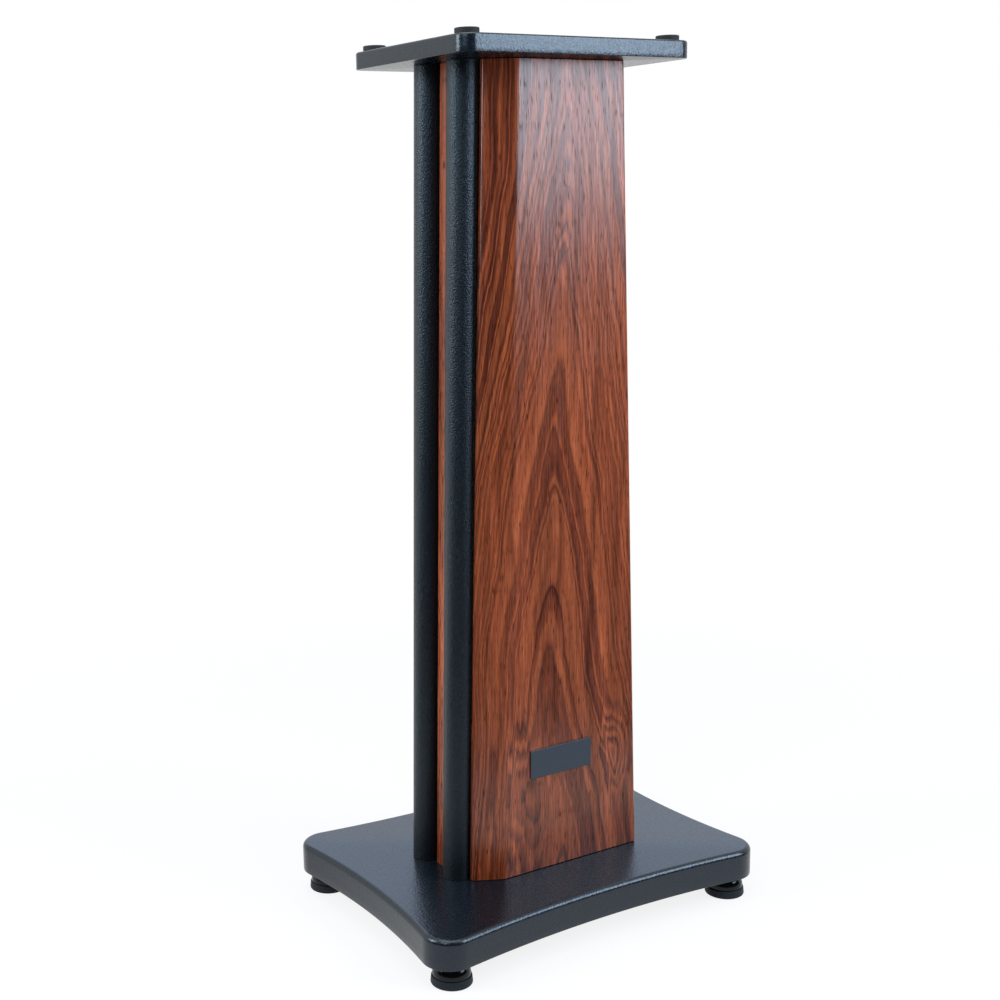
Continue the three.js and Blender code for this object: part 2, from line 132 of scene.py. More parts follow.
def finishMaterial(tree, inputs):
    shader = addNode(tree, "ShaderNodeBsdfPrincipled", inputs)
    out = addNode(tree, "ShaderNodeOutputMaterial")
    tree.links.new(shader.outputs["BSDF"], out.inputs["Surface"])


# the pebble and the veneer figure are node groups, because several finishes share them
pebbleSizes = {"detail": 2.0, "roughness": 0.55, "speckDetail": 1.0, "speckEdge": 0.12, "cloudRepeats": 9.0,
               "cloudDetail": 3.0}


def pebbleGroup():
    tree, given, out = newGroup("pebble", [("Pebble Size", "NodeSocketFloat", 0.001),
                                           ("Speck Size", "NodeSocketFloat", 0.0006),
                                           ("Speck Share", "NodeSocketFloat", 0.5)],
                                [("Height", "NodeSocketFloat"), ("Glint Speck", "NodeSocketFloat"),
                                 ("Cloud", "NodeSocketFloat")])
    place = addNode(tree, "ShaderNodeTexCoord").outputs["Object"]
    pebbleScale = calc(tree, "DIVIDE", 1.0, given.outputs["Pebble Size"])
    height = addNode(tree, "ShaderNodeTexNoise", {"Vector": place, "Scale": pebbleScale,
                                                  "Detail": pebbleSizes["detail"],
                                                  "Roughness": pebbleSizes["roughness"]})
    speckScale = calc(tree, "DIVIDE", 1.0, given.outputs["Speck Size"])
    # the speck mask marks small spots that get a lighter colour: painted glints on the pebbled surface
    glintSpeck = addNode(tree, "ShaderNodeTexNoise", {"Vector": place, "Scale": speckScale,
                                                 "Detail": pebbleSizes["speckDetail"]})
    cut = calc(tree, "SUBTRACT", 1.0, calc(tree, "MULTIPLY", given.outputs["Speck Share"], 0.5))
    speckMask = addNode(tree, "ShaderNodeMapRange", {"Value": glintSpeck.outputs["Fac"], "From Min": cut,
                                                     "From Max": calc(tree, "ADD", cut, pebbleSizes["speckEdge"])})
    cloud = addNode(tree, "ShaderNodeTexNoise", {"Vector": place, "Scale": pebbleSizes["cloudRepeats"],
                                                 "Detail": pebbleSizes["cloudDetail"]})
    tree.links.new(height.outputs["Fac"], out.inputs["Height"])
    tree.links.new(speckMask.outputs["Result"], out.inputs["Glint Speck"])
    tree.links.new(cloud.outputs["Fac"], out.inputs["Cloud"])
    return tree


# each grain layer: repeats for each metre across and up, detail, seed
grainLayers = {"slowSway": (4.0, 3.2, 1.0, 1.7), "quickSway": (16.0, 9.0, 2.0, 2.9),
               "ripple": (110.0, 26.0, 2.0, 5.1), "streak": (120.0, 2.4, 3.0, 9.3),
               "fibre": (820.0, 26.0, 3.0, 6.6), "pore": (1250.0, 85.0, 1.0, 3.9), "tone": (26.0, 2.4, 2.0, 12.5)}
figureSizes = {"slowSwayReach": 0.075, "quickSwayReach": 0.016, "rippleReach": 0.0042, "archTip": 0.0075,
               "unevenRepeats": 9.0, "unevenRings": 5.5, "poreSpan": (0.60, 0.69)}
knots = ({"x": -0.040, "z": 0.125, "wide": 0.046, "tall": 0.085, "ringStep": 0.36},
         {"x": 0.066, "z": 0.150, "wide": 0.018, "tall": 0.05, "ringStep": 0.6})
knotFade = {"outer": 1.15, "inner": 0.1, "ringShift": 3.4}


def veneerGroup():
    tree, given, out = newGroup("veneer figure", [
        ("Arch Centre", "NodeSocketFloat", 0.0), ("Arch Drop", "NodeSocketFloat", 8.0),
        ("Ring Step", "NodeSocketFloat", 0.04), ("Shift", "NodeSocketFloat", 0.0),
        ("Half Depth", "NodeSocketFloat", 0.058), ("Knot Share", "NodeSocketFloat", 1.0)],
        [("Ring", "NodeSocketFloat"), ("Ring Strength", "NodeSocketFloat"), ("Streak", "NodeSocketFloat"),
         ("Fibre", "NodeSocketFloat"), ("Pore", "NodeSocketFloat"), ("Tone", "NodeSocketFloat")])
    place = addNode(tree, "ShaderNodeSeparateXYZ",
                    {0: addNode(tree, "ShaderNodeTexCoord").outputs["Object"]})
    x, y, z = place.outputs
    # the figure runs on round the long edges
    wrap = calc(tree, "SUBTRACT", given.outputs["Half Depth"], calc(tree, "ABSOLUTE", y))
    across = calc(tree, "ADD", x, calc(tree, "MULTIPLY", calc(tree, "SIGN", x), wrap))
    up = calc(tree, "ADD", z, given.outputs["Shift"])

    def noiseAt(layer, sideways=None):
        acrossScale, upScale, detail, seed = grainLayers[layer]
        spot = addNode(tree, "ShaderNodeCombineXYZ", {0: calc(tree, "MULTIPLY", sideways or across, acrossScale),
                                                      1: calc(tree, "ADD", given.outputs["Shift"], seed),
                                                      2: calc(tree, "MULTIPLY", up, upScale)})
        made = addNode(tree, "ShaderNodeTexNoise", {"Vector": spot.outputs[0], "Scale": 1.0, "Detail": detail})
        return made.outputs["Fac"]

    def swayBy(layer, reach):
        return calc(tree, "MULTIPLY", calc(tree, "SUBTRACT", noiseAt(layer), 0.5), figureSizes[reach])

    drift = calc(tree, "ADD", swayBy("slowSway", "slowSwayReach"), swayBy("quickSway", "quickSwayReach"))
    ripple = swayBy("ripple", "rippleReach")
    bent = calc(tree, "ADD", calc(tree, "ADD", across, drift), ripple)
    off = calc(tree, "SUBTRACT", bent, given.outputs["Arch Centre"])
    # rings of constant height above a rounded arch
    tip = figureSizes["archTip"]
    reach = calc(tree, "SUBTRACT", calc(tree, "SQRT", calc(tree, "ADD", calc(tree, "MULTIPLY", off, off),
                                                           tip * tip)), tip)
    crest = calc(tree, "ADD", up, calc(tree, "MULTIPLY", reach, given.outputs["Arch Drop"]))
    rings = calc(tree, "DIVIDE", crest, given.outputs["Ring Step"])
    uneven = addNode(tree, "ShaderNodeTexNoise", {"W": calc(tree, "MULTIPLY", crest, figureSizes["unevenRepeats"]),
                                                  "Scale": 1.0, "Detail": 2.0}, noise_dimensions="1D").outputs["Fac"]
    rings = calc(tree, "ADD", rings, calc(tree, "MULTIPLY", uneven, figureSizes["unevenRings"]))

    # rings bend into loops near each knot
    for knot in knots:
        dx = calc(tree, "DIVIDE", calc(tree, "SUBTRACT", bent, knot["x"]), knot["wide"])
        dz = calc(tree, "DIVIDE", calc(tree, "SUBTRACT", z, knot["z"]), knot["tall"])
        far = calc(tree, "SQRT", calc(tree, "ADD", calc(tree, "MULTIPLY", dx, dx), calc(tree, "MULTIPLY", dz, dz)))
        near = remap(tree, far, knotFade["outer"], knotFade["inner"], smooth=True)
        near = calc(tree, "MULTIPLY", near, given.outputs["Knot Share"])
        loops = calc(tree, "SUBTRACT", calc(tree, "DIVIDE", far, knot["ringStep"]), knotFade["ringShift"])
        rings = calc(tree, "ADD", rings, calc(tree, "MULTIPLY", loops, near))
    ringNumber = addNode(tree, "ShaderNodeTexWhiteNoise", {"W": calc(tree, "FLOOR", rings)}, noise_dimensions="1D")
    tree.links.new(calc(tree, "FRACT", rings), out.inputs["Ring"])
    tree.links.new(ringNumber.outputs["Value"], out.inputs["Ring Strength"])
    tree.links.new(noiseAt("streak", bent), out.inputs["Streak"])
    tree.links.new(noiseAt("fibre"), out.inputs["Fibre"])
    tree.links.new(remap(tree, noiseAt("pore"), *figureSizes["poreSpan"]), out.inputs["Pore"])
    tree.links.new(noiseAt("tone", bent), out.inputs["Tone"])
    return tree


pebble = pebbleGroup()
veneerFigure = veneerGroup()
noiseSpan = (0.3, 0.7)  # most noise values lie here
print("node groups ready")

# the speck colours of the lacquer and the coat are painted glints, lighter bluish spots over the black
satinLook = {"deep": (0.0028, 0.0048, 0.0080), "pale": (0.005, 0.008, 0.0125), "glintSpeck": (0.026, 0.034, 0.046),
             "roughness": 0.24, "bump": 0.55, "tint": (0.80, 0.91, 1.0), "pebbleSize": 0.0019,
             "speckSize": 0.0007, "speckShare": 0.72, "bumpDepth": 0.0003}
coatLook = {"deep": (0.002, 0.003, 0.004), "pale": (0.004, 0.0055, 0.0075), "glintSpeck": (0.018, 0.023, 0.030),
            "roughness": 0.36, "bump": 0.9, "tint": (0.72, 0.87, 1.0), "pebbleSize": 0.0014,
            "speckSize": 0.0007, "speckShare": 0.78, "bumpDepth": 0.0007}
veneerLook = {"light": (0.37, 0.085, 0.024), "mid": (0.170, 0.031, 0.010), "dark": (0.020, 0.0045, 0.0025),
              "pore": (0.012, 0.0032, 0.002), "deep": (0.078, 0.014, 0.006), "roughness": 0.26, "bump": 0.10,
              "bumpDepth": 0.0001, "smoother": 0.04, "rougher": 0.06, "toneSpan": (0.32, 0.68), "groundShare": 0.45,
              "ringSpread": (0.25, 1.0), "ringFade": (1.0, 0.55), "ringFadeSpan": (0.25, 0.75),
              "streakSpread": (0.62, 1.32), "fibreSpread": (0.78, 1.22), "poreShare": 0.75, "fibreHeight": 0.4,
              "glossFibre": (0.32, 0.66), "glossPore": 0.25, "glossStreak": (0.86, 1.1)}
rubberLook = {"deep": (0.004, 0.005, 0.006), "pale": (0.008, 0.010, 0.012), "roughness": 0.75,
              "pebbleSize": 0.0005, "speckSize": 0.0006, "speckShare": 0.6}
footWallLook = {"deep": (0.010, 0.013, 0.016), "pale": (0.018, 0.022, 0.026), "roughness": 0.55, "ior": 1.25,
                "pebbleSize": 0.0006, "speckSize": 0.0005, "speckShare": 0.7}
footDomeLook = {"deep": (0.0012, 0.0016, 0.0022), "pale": (0.002, 0.0026, 0.0035), "roughness": 0.12, "ior": 1.32,
                "pebbleSize": 0.004, "speckSize": 0.002, "speckShare": 0.5}
badgeLook = {"deep": (0.019, 0.028, 0.041), "pale": (0.026, 0.037, 0.052), "roughness": 0.4,
             "pebbleSize": 0.0006, "speckSize": 0.0005, "speckShare": 0.6}
zincLook = {"deep": (0.38, 0.39, 0.40), "pale": (0.60, 0.61, 0.62), "roughness": 0.32, "metallic": 1.0,
            "pebbleSize": 0.0008, "speckSize": 0.0006, "speckShare": 0.6}
blackSteelLook = {"deep": (0.010, 0.011, 0.012), "pale": (0.022, 0.023, 0.025), "roughness": 0.4,
                  "metallic": 0.6, "pebbleSize": 0.0008, "speckSize": 0.0006, "speckShare": 0.6}
coatDefaults = {"bump": 0.15, "bumpDepth": 0.00005, "metallic": 0.0, "ior": 1.5, "tint": (1.0, 1.0, 1.0),
                "smoother": 0.05, "rougher": 0.07}


def coatedMaterial(name, givenLook):
    look = {**coatDefaults, "glintSpeck": givenLook["pale"], **givenLook}
    material, tree = newMaterial(name)
    grain = addNode(tree, "ShaderNodeGroup", node_tree=pebble)
    grain.inputs["Pebble Size"].default_value = look["pebbleSize"]
    grain.inputs["Speck Size"].default_value = look["speckSize"]
    grain.inputs["Speck Share"].default_value = look["speckShare"]
    base = blendColour(tree, grain.outputs["Cloud"], look["deep"], look["pale"])
    # the lighter speck colour laid over the base is a painted glint
    colour = blendColour(tree, grain.outputs["Glint Speck"], base, look["glintSpeck"])
    roughness = remap(tree, grain.outputs["Height"], *noiseSpan, look["roughness"] - look["smoother"],
                      look["roughness"] + look["rougher"])
    bump = addNode(tree, "ShaderNodeBump", {"Height": grain.outputs["Height"], "Strength": look["bump"],
                                            "Distance": look["bumpDepth"]})
    finishMaterial(tree, {"Base Color": colour, "Roughness": roughness, "Normal": bump.outputs["Normal"],
                          "Metallic": look["metallic"], "IOR": look["ior"],
                          "Specular Tint": (*look["tint"], 1.0)})
    return material


def veneerMaterial(name, figure):
    look = veneerLook
    material, tree = newMaterial(name)
    grain = addNode(tree, "ShaderNodeGroup", node_tree=veneerFigure)
    for label, value in figure.items():
        grain.inputs[label].default_value = value
    between = tuple(0.5 * (a + b) for a, b in zip(look["light"], look["mid"]))
    ring = colourRamp(tree, grain.outputs["Ring"], [
        (0.0, look["mid"]), (0.10, between), (0.34, look["light"]), (0.58, look["mid"]), (0.80, look["deep"]),
        (0.93, look["dark"]), (1.0, look["mid"])])
    zones = remap(tree, grain.outputs["Tone"], *look["toneSpan"], smooth=True)
    ground = blendColour(tree, zones, look["deep"], between)
    ground = blendColour(tree, look["groundShare"], ground, look["mid"])
    strength = calc(tree, "MULTIPLY", remap(tree, grain.outputs["Ring Strength"], 0.0, 1.0, *look["ringSpread"]),
                    remap(tree, grain.outputs["Tone"], *look["ringFadeSpan"], *look["ringFade"]))
    body = blendColour(tree, strength, ground, ring)
    streaks = calc(tree, "MULTIPLY", remap(tree, grain.outputs["Streak"], *noiseSpan, *look["streakSpread"]),
                   remap(tree, grain.outputs["Fibre"], *noiseSpan, *look["fibreSpread"]))
    grey = addNode(tree, "ShaderNodeCombineXYZ", {0: streaks, 1: streaks, 2: streaks}).outputs[0]
    streaked = blendColour(tree, 1.0, body, grey, "MULTIPLY")
    pores = calc(tree, "MULTIPLY", grain.outputs["Pore"], look["poreShare"])
    colour = blendColour(tree, pores, streaked, look["pore"])
    roughness = remap(tree, grain.outputs["Fibre"], *noiseSpan, look["roughness"] - look["smoother"],
                      look["roughness"] + look["rougher"])
    height = calc(tree, "SUBTRACT", calc(tree, "MULTIPLY", grain.outputs["Fibre"], look["fibreHeight"]),
                  grain.outputs["Pore"])
    bump = addNode(tree, "ShaderNodeBump", {"Height": height, "Strength": look["bump"],
                                            "Distance": look["bumpDepth"]})
    gloss = calc(tree, "MULTIPLY", remap(tree, grain.outputs["Fibre"], *noiseSpan, *look["glossFibre"]),
                 remap(tree, grain.outputs["Pore"], 0.0, 1.0, 1.0, look["glossPore"]))
    gloss = calc(tree, "MULTIPLY", gloss, remap(tree, grain.outputs["Streak"], *noiseSpan, *look["glossStreak"]))
    finishMaterial(tree, {"Base Color": colour, "Roughness": roughness, "Specular IOR Level": gloss,
                          "Normal": bump.outputs["Normal"]})
    return material


satinBlack = coatedMaterial("satin black lacquer", satinLook)
pebbledCoat = coatedMaterial("pebbled black coat", coatLook)
padRubber = coatedMaterial("pad rubber", rubberLook)
footWall = coatedMaterial("foot wall plastic", footWallLook)
footDome = coatedMaterial("foot dome gloss", footDomeLook)
badgeSlate = coatedMaterial("badge slate", badgeLook)
zincPlate = coatedMaterial("zinc plate", zincLook)
blackSteel = coatedMaterial("blackened steel", blackSteelLook)
frontVeneer = veneerMaterial("front veneer", {"Arch Centre": 0.002, "Arch Drop": 6.0, "Ring Step": 0.075,
                                              "Shift": 0.0, "Half Depth": 0.0575, "Knot Share": 1.0})
rearVeneer = veneerMaterial("rear veneer", {"Arch Centre": 0.012, "Arch Drop": 8.5, "Ring Step": 0.05,
                                            "Shift": 3.37, "Half Depth": 0.0575, "Knot Share": 0.0})
middleVeneer = veneerMaterial("middle veneer", {"Arch Centre": 0.16, "Arch Drop": 9.0, "Ring Step": 0.06,
                                                "Shift": 7.9, "Half Depth": 0.009, "Knot Share": 0.0})
print("materials ready")


# each piece rides on its node's body and replaces that node
def makePiece(name, verts, faces, material, nodeName, slotName, smoothAngle=32):
    mesh = bpy.data.meshes.new(name)
    mesh.from_pydata([tuple(v) for v in verts], [], faces)
    mesh.validate()
    mesh.materials.append(material)
    mesh.polygons.foreach_set("use_smooth", [True] * len(mesh.polygons))
    mesh.update()
    mesh.set_sharp_from_angle(angle=math.radians(smoothAngle))
    piece = bpy.data.objects.new(name, mesh)
    bpy.context.scene.collection.objects.link(piece)
    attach(piece, bodyOf[nodeName])
    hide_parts(nodeName)
    return piece


def loft(rings, capped=True):
    count = len(rings[0])
    verts = [point for ring in rings for point in ring]
    faces = []
    for level in range(len(rings) - 1):
        for i in range(count):
            j = (i + 1) % count
            faces.append((level * count + i, level * count + j, (level + 1) * count + j, (level + 1) * count + i))
    if capped:
        faces.append(tuple(reversed(range(count))))
        faces.append(tuple(range((len(rings) - 1) * count, len(rings) * count)))
    return verts, faces


def turned(profile, sides, centre=(0, 0)):
    rings = []
    for radius, z in profile:
        rings.append([(centre[0] + radius * math.cos(2 * math.pi * i / sides),
                       centre[1] + radius * math.sin(2 * math.pi * i / sides), z) for i in range(sides)])
    return rings


def arcPoints(centre, radius, fromAngle, toAngle, steps):
    return [(centre[0] + radius * math.cos(fromAngle + (toAngle - fromAngle) * i / steps),
             centre[1] + radius * math.sin(fromAngle + (toAngle - fromAngle) * i / steps)) for i in range(steps + 1)]


bodyOf = {node: body for body, nodes in frame["record"]["behaviour"]["bodies"].items() for node in nodes}
boardNames = ("front", "middle", "rear")


basePlateSizes = {"sagX": 15 * mm, "sagY": 16 * mm, "cornerRadius": 25 * mm, "cornerX": 189.7 * mm,
                  "cornerY": 138.25 * mm, "topFillet": 5 * mm, "lowerEdge": 0.7 * mm, "sideSteps": 40,
                  "cornerSteps": 24}
topPlateSizes = {"sagX": 0.0, "sagY": 0.0, "cornerRadius": 13 * mm, "cornerX": 120 * mm, "cornerY": 90 * mm,
                 "topFillet": 2 * mm, "lowerEdge": 0.6 * mm, "sideSteps": 16, "cornerSteps": 24}


plateSteps = {"cornerTries": 80, "lowerSteps": 4, "wallShares": (0.35, 0.7), "filletSteps": 12}


def plateOutline(sizes):
    halfX, halfY = sizes["cornerX"], sizes["cornerY"]
    sagX, sagY, radius = sizes["sagX"], sizes["sagY"], sizes["cornerRadius"]

    def rightSide(y):
        normal = np.array([1.0, -2 * sagX * y / halfY ** 2])
        return np.array([halfX - sagX * (1 - (y / halfY) ** 2), y]), normal / np.linalg.norm(normal)

    def backSide(x):
        normal = np.array([-2 * sagY * x / halfX ** 2, 1.0])
        return np.array([x, halfY - sagY * (1 - (x / halfX) ** 2)]), normal / np.linalg.norm(normal)

    touchX, touchY = halfX - radius, halfY - radius
    for _ in range(plateSteps["cornerTries"]):  # the corner circle's centre is one radius inside both sides
        sidePoint, sideNormal = rightSide(touchY)
        backPoint, backNormal = backSide(touchX)
        fromSide = sidePoint - radius * sideNormal
        fromBack = backPoint - radius * backNormal
        touchX += fromSide[0] - fromBack[0]
        touchY += fromBack[1] - fromSide[1]
    centre = (fromSide + fromBack) / 2
    quarter = [rightSide(touchY * i / sizes["sideSteps"]) for i in range(sizes["sideSteps"])]
    start = math.atan2(*(rightSide(touchY)[0] - centre)[::-1])
    end = math.atan2(*(backSide(touchX)[0] - centre)[::-1])
    for i in range(sizes["cornerSteps"] + 1):
        angle = start + (end - start) * i / sizes["cornerSteps"]
        normal = np.array([math.cos(angle), math.sin(angle)])
        quarter.append((centre + radius * normal, normal))
    quarter += [backSide(touchX * i / sizes["sideSteps"]) for i in range(sizes["sideSteps"] - 1, -1, -1)]

    def mirrored(points, fx, fy):
        flip = np.array([fx, fy])
        return [(p * flip, n * flip) for p, n in points]

    back = quarter[::-1]
    return (quarter[:-1] + mirrored(back, -1, 1)[:-1] + mirrored(quarter, -1, -1)[:-1] + mirrored(back, 1, -1)[:-1])


def plateRings(sizes, low, high):
    outline = plateOutline(sizes)
    fillet, edge = sizes["topFillet"], sizes["lowerEdge"]
    quarter = math.pi / 2
    levels = [(edge * (1 - math.sin(t)), low + edge * (1 - math.cos(t)))
              for t in np.linspace(0, quarter, plateSteps["lowerSteps"])]
    levels += [(0.0, low + (high - fillet - low) * share) for share in plateSteps["wallShares"]]
    levels += [(fillet * (1 - math.cos(t)), high - fillet * (1 - math.sin(t)))
               for t in np.linspace(0, quarter, plateSteps["filletSteps"])]
    return [[(p[0] - n[0] * inset, p[1] - n[1] * inset, z) for p, n in outline] for inset, z in levels]


def boreOut(piece, cutters):
    helper = bpy.data.collections.new("bores")
    for verts, faces in cutters:
        mesh = bpy.data.meshes.new("bore")
        mesh.from_pydata(verts, [], faces)
        helper.objects.link(bpy.data.objects.new("bore", mesh))
    cut = piece.modifiers.new("bores", "BOOLEAN")
    cut.operand_type = "COLLECTION"
    cut.collection = helper
    cut.solver = "EXACT"
    bpy.context.view_layer.update()
    cutMesh = bpy.data.meshes.new_from_object(piece.evaluated_get(bpy.context.evaluated_depsgraph_get()))
    piece.modifiers.clear()
    piece.data = cutMesh
    for tool in list(helper.objects):
        bpy.data.objects.remove(tool)
    bpy.data.collections.remove(helper)


def centreOf(node):
    low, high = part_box(node)
    return (low.x + high.x) / 2, (low.y + high.y) / 2


boreSizes = {"baseBolt": 8.3 * mm, "baseBoltDepth": 11 * mm, "insert": 9.7 * mm, "insertDepth": 22 * mm,
             "baseScrew": 4.9 * mm, "baseScrewDepth": 11 * mm, "topBolt": (4.3 * mm, 8.4 * mm),
             "topBoltCone": (5 * mm, 0.9 * mm), "topScrew": (2.8 * mm, 5.0 * mm), "topScrewCone": (3 * mm, 0.8 * mm),
             "clear": 1 * mm, "sides": 40}


def straightBore(node, radius, depth, floorZ):
    levels = [(radius, floorZ - boreSizes["clear"]), (radius, floorZ + depth)]
    return loft(turned(levels, boreSizes["sides"], centreOf(node)))


def coneBore(node, radii, depths, faceZ):
    levels = [(radii[0], faceZ - depths[0]), (radii[1], faceZ - depths[1]), (radii[1], faceZ + boreSizes["clear"])]
    return loft(turned(levels, boreSizes["sides"], centreOf(node)))


def buildBasePlate():
    low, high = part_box("base_plate")
    piece = makePiece("basePlateBody", *loft(plateRings(basePlateSizes, low.z, high.z)), satinBlack,
                      "base_plate", "satin_black")
    sizes = boreSizes
    cutters = []
    for place in cornerNames:
        cutters.append(straightBore(f"base_bolt_{place}", sizes["baseBolt"], sizes["baseBoltDepth"], low.z))
        cutters.append(straightBore(f"foot_insert_{place}", sizes["insert"], sizes["insertDepth"], low.z))
    for board in boardNames:
        for side in ("left", "right"):
            cutters.append(straightBore(f"base_screw_{board}_{side}", sizes["baseScrew"], sizes["baseScrewDepth"],
                                        low.z))
    boreOut(piece, cutters)


def buildTopPlate():
    low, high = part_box("top_plate")
    piece = makePiece("topPlateBody", *loft(plateRings(topPlateSizes, low.z, high.z)), satinBlack,
                      "top_plate", "satin_black")
    sizes = boreSizes
    cutters = []
    for place in cornerNames:
        cutters.append(coneBore(f"top_bolt_{place}", sizes["topBolt"], sizes["topBoltCone"], high.z))
    for board in boardNames:
        for side in ("left", "right"):
            cutters.append(coneBore(f"top_screw_{board}_{side}", sizes["topScrew"], sizes["topScrewCone"], high.z))
    boreOut(piece, cutters)


buildBasePlate()
buildTopPlate()
print("plates built")

# the tubes lean inwards towards the head
tubeSizes = {"radius": 13.5 * mm, "wall": 1.5 * mm, "topX": 78 * mm, "footX": 95 * mm, "rowY": 26 * mm,
             "footZ": 49 * mm, "topZ": 780 * mm, "sides": 72, "levels": 9}


def buildTube(place):
    sx, sy = cornerNames[place]
    node = f"tube_{place}"
    low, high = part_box(node)
    sizes = tubeSizes
    outer, inner = sizes["radius"], sizes["radius"] - sizes["wall"]
    heights = np.linspace(low.z, high.z, sizes["levels"])
    profile = [(outer, z) for z in heights] + [(inner, z) for z in heights[::-1]]
    slope = (sizes["topX"] - sizes["footX"]) / (sizes["topZ"] - sizes["footZ"])
    rings = []
    for ring in turned(profile, sizes["sides"]):
        centreX = sizes["footX"] + slope * (ring[0][2] - sizes["footZ"])
        rings.append([(x + sx * centreX, y + sy * sizes["rowY"], z) for x, y, z in ring])
    rings.append(rings[0])
    verts, faces = loft(rings, capped=False)
    makePiece(f"tubeSkin_{place}", verts, faces, pebbledCoat, node, "powder_black")


for place in cornerNames:
    buildTube(place)
print("tubes built")

# the bevel keeps its width while the board tapers
faceBoardSizes = {"topHalf": 70 * mm, "footHalf": 91 * mm, "bevelWidth": 26 * mm, "bevelDepth": 13 * mm,
                  "bevelBlend": 12 * mm, "bevelNose": 4 * mm, "squareNose": 2.5 * mm, "backEase": 0.8 * mm,
                  "arcSteps": 10, "support": 0.3 * mm, "levels": 14, "endBevel": 0.5 * mm,
                  "endMargin": 20 * mm}
middleBoardSizes = {"topHalf": 79 * mm, "footHalf": 96.2 * mm, "round": 2.6 * mm, "roundSteps": 8,
                    "levels": 14}


def roundedPlan(corners, inset, steps, support):
    plan = []
    count = len(corners)
    for i, (x, y, radius) in enumerate(corners):
        here = np.array([x, y])
        back = np.array(corners[i - 1][:2]) - here
        ahead = np.array(corners[(i + 1) % count][:2]) - here
        back, ahead = back / np.linalg.norm(back), ahead / np.linalg.norm(ahead)
        halfAngle = math.acos(float(back @ ahead)) / 2
        reach = radius / math.tan(halfAngle)
        middle = here + (back + ahead) / np.linalg.norm(back + ahead) * radius / math.sin(halfAngle)
        start = math.atan2(*(here + back * reach - middle)[::-1])
        arc = arcPoints(middle, radius - inset, start, start + math.pi - 2 * halfAngle, steps)
        plan += [tuple(np.array(arc[0]) + back * support), *arc, tuple(np.array(arc[-1]) + ahead * support)]
    return plan


def faceBoardRing(half, thickness, backY, facing, z, inset=0.0):
    sizes = faceBoardSizes
    corners = [(half, 0.0, sizes["backEase"]), (-half, 0.0, sizes["backEase"]),
               (-half, sizes["bevelDepth"] - thickness, sizes["bevelNose"]),
               (sizes["bevelWidth"] - half, -thickness, sizes["bevelBlend"]),
               (half, -thickness, sizes["squareNose"])]
    plan = roundedPlan(corners, inset, sizes["arcSteps"], sizes["support"])
    return [(-facing * x, backY - facing * y, z) for x, y in plan]


def buildFaceBoard(name, node, facing, material):
    low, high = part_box(node)
    thickness = high.y - low.y
    backY = high.y if facing < 0 else low.y
    sizes = faceBoardSizes
    rings = []
    bevel, margin = sizes["endBevel"], sizes["endMargin"]
    heights = [low.z, low.z + bevel, *np.linspace(low.z + margin, high.z - margin, sizes["levels"]),
               high.z - bevel, high.z]
    for z in heights:
        share = (z - low.z) / (high.z - low.z)
        half = sizes["footHalf"] + (sizes["topHalf"] - sizes["footHalf"]) * share
        inset = bevel if z in (low.z, high.z) else 0.0
        rings.append(faceBoardRing(half, thickness, backY, facing, z, inset))
    makePiece(name, *loft(rings), material, node, "wood", smoothAngle=40)


def buildMiddleBoard():
    low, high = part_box("middle_board")
    sizes = middleBoardSizes
    halfY = (high.y - low.y) / 2
    rings = []
    for z in np.linspace(low.z, high.z, sizes["levels"]):
        share = (z - low.z) / (high.z - low.z)
        half = sizes["footHalf"] + (sizes["topHalf"] - sizes["footHalf"]) * share
        ring = []
        for number, (sx, sy) in enumerate(((1, 1), (-1, 1), (-1, -1), (1, -1))):
            start = number * math.pi / 2
            centre = (sx * (half - sizes["round"]), sy * (halfY - sizes["round"]))
            ring += [(x, y, z) for x, y in arcPoints(centre, sizes["round"], start, start + math.pi / 2,
                                                     sizes["roundSteps"])]
        rings.append(ring)
    makePiece("middleBoardVeneer", *loft(rings), middleVeneer, "middle_board", "wood", smoothAngle=40)


buildFaceBoard("frontBoardVeneer", "front_panel", -1, frontVeneer)
buildFaceBoard("rearBoardVeneer", "rear_panel", 1, rearVeneer)
buildMiddleBoard()
print("boards built")

# the badge is a bare plate
badgeSizes = {"corner": 1.5 * mm, "edge": 0.3 * mm, "cornerSteps": 8}


def buildBadge():
    low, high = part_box("badge_plate")
    sizes = badgeSizes
    halfW, halfH = (high.x - low.x) / 2, (high.z - low.z) / 2
    centreX, centreZ = (high.x + low.x) / 2, (high.z + low.z) / 2
    rings = []
    for y, inset in ((high.y, 0.0), (low.y + sizes["edge"], 0.0), (low.y, sizes["edge"])):
        ring = []
        for number, (sx, sz) in enumerate(((1, 1), (-1, 1), (-1, -1), (1, -1))):
            start = number * math.pi / 2
            centre = (centreX + sx * (halfW - sizes["corner"]), centreZ + sz * (halfH - sizes["corner"]))
            ring += [(x, y, z) for x, z in arcPoints(centre, sizes["corner"] - inset, start, start + math.pi / 2,
                                                     sizes["cornerSteps"])]
        rings.append(ring)
    makePiece("badgeFace", *loft(rings), badgeSlate, "badge_plate", "badge", smoothAngle=30)


buildBadge()
print("badge built")

padSizes = {"radius": 10.2 * mm, "edge": 0.9 * mm, "middle": 0.02, "crown": 0.6, "edgeSteps": 7, "sides": 64}
footSizes = {"radius": 18.5 * mm, "draft": 0.5 * mm, "edge": 1.2 * mm, "socket": 6.3 * mm, "socketFloor": 2.5 * mm,
             "domeRadius": 17.1 * mm, "domeTop": 6.5 * mm, "rim": 0.9 * mm, "bore": 4.3 * mm, "middle": 0.02,
             "edgeSteps": 6, "edgeStart": 0.04, "domeSteps": 16, "sides": 72}


